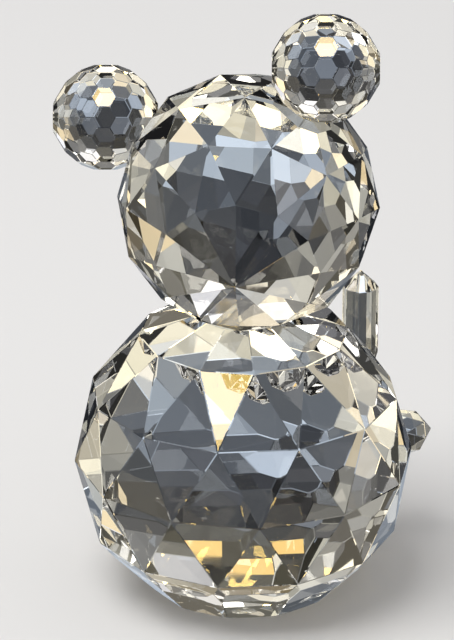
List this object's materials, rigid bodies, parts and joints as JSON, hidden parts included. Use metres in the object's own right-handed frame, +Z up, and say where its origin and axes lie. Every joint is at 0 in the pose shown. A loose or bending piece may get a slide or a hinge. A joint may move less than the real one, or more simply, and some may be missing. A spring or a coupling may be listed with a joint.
{
  "type": "crystal bear figurine",
  "caption": "Seated bear made of faceted clear crystal balls and stones bonded at ground flats, resting on a flat foot.",
  "frame": {"origin": "centre of the flat resting face under the body ball", "axes": "+Z up, out of the resting face; the bear faces -Y; its right hand is on -X"},
  "size_m": [0.0557, 0.0558, 0.0902],
  "materials": {
    "crystal": "clear lead crystal, cut and polished",
    "jet": "opaque black faceted stone, polished",
    "adhesive": "clear cured adhesive film"
  },
  "bodies": {
    "root": {"body": "crystal", "head": "crystal", "ear_left": "crystal", "ear_right": "crystal", "muzzle": "crystal", "nose": "jet", "eye_left": "jet", "eye_right": "jet", "arm_left": "crystal", "arm_right": "crystal", "leg_left": "crystal", "leg_right": "crystal", "neck_bond": "adhesive", "ear_bond_left": "adhesive", "ear_bond_right": "adhesive", "muzzle_bond": "adhesive", "nose_bond": "adhesive", "eye_bond_left": "adhesive", "eye_bond_right": "adhesive", "arm_bond_left": "adhesive", "arm_bond_right": "adhesive", "leg_bond_left": "adhesive", "leg_bond_right": "adhesive"}
  },
  "joints": []
}
